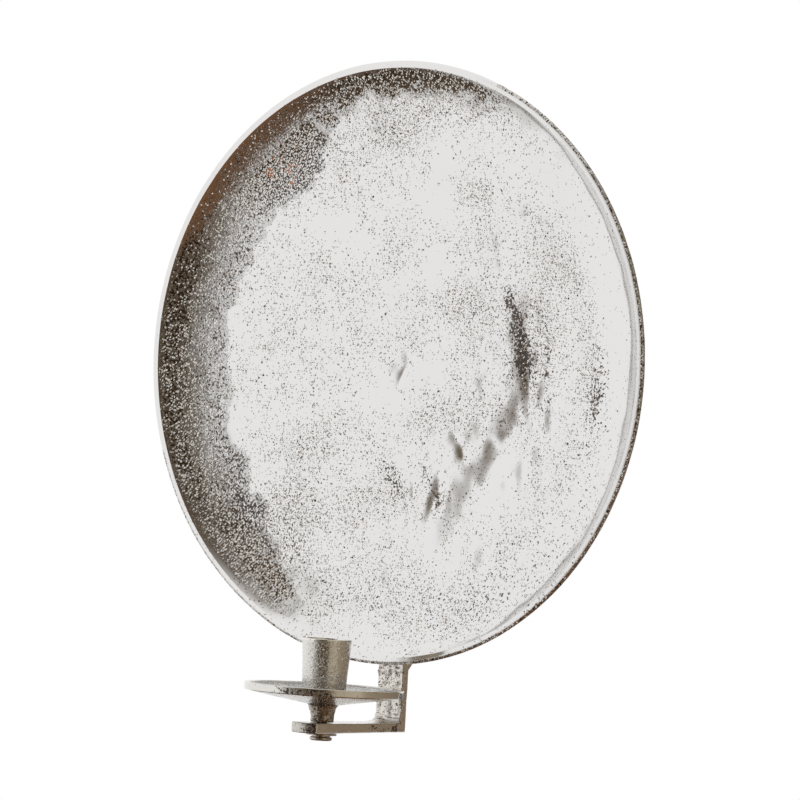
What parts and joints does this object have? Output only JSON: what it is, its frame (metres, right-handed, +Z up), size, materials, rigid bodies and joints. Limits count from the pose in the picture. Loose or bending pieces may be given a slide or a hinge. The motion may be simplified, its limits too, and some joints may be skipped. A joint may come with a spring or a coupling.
{
  "type": "wall candle holder",
  "caption": "Round cast-metal reflector dish for a wall, with an L-shaped arm below it that carries a drip pan and a tapered cup for a candle.",
  "frame": {"origin": "where the wall screw's shank bears at the top of the hanger's keyhole, on the wall's surface", "axes": "+Z up, -Y the way the dish and the arm face, +Y into the wall, +X to the right of someone who looks at the dish"},
  "size_m": [0.34, 0.1154, 0.3828],
  "materials": {
    "polished_casting": "hand polished, near mirror on the floor, with fine casting pits and grain on the wall",
    "rough_casting": "sand cast and brushed, pitted",
    "pan_casting": "turned and polished, with small pits",
    "cup_casting": "satin cast, pitted and scratched",
    "screw_steel": "nickel plated, worn",
    "zinc_screws": "zinc plated",
    "strap_steel": "zinc plated sheet"
  },
  "bodies": {
    "dish_and_bracket": {"reflector_plate": "polished_casting", "bracket": "rough_casting", "bracket_screw_upper": "zinc_screws", "bracket_screw_lower": "zinc_screws", "hanger": "strap_steel", "hanger_screw_left": "zinc_screws", "hanger_screw_right": "zinc_screws"},
    "cup_stack": {"stem": "rough_casting", "drip_pan": "pan_casting", "candle_cup": "cup_casting"},
    "washers": {"washer": "screw_steel", "lock_washer": "screw_steel"},
    "screw": {"clamp_screw": "screw_steel"}
  },
  "joints": [
    {"name": "cup_swivel", "type": "hinge", "parent": "dish_and_bracket", "child": "cup_stack", "pos_m": [0, -0.0707, -0.2987], "axis": [0, 0, 1], "continuous": true},
    {"name": "screw_travel", "type": "slide", "parent": "cup_stack", "child": "washers", "axis": [0, 0, 1], "range_m": [-0.006, 0]},
    {"name": "screw_turn", "type": "hinge", "parent": "washers", "child": "screw", "pos_m": [0, -0.0707, -0.3067], "axis": [0, 0, 1], "range_deg": [-2160, 0]}
  ],
  "couplings": [
    {"joint": "screw_turn", "follows": "screw_travel", "rad_per_m": 6283}
  ]
}
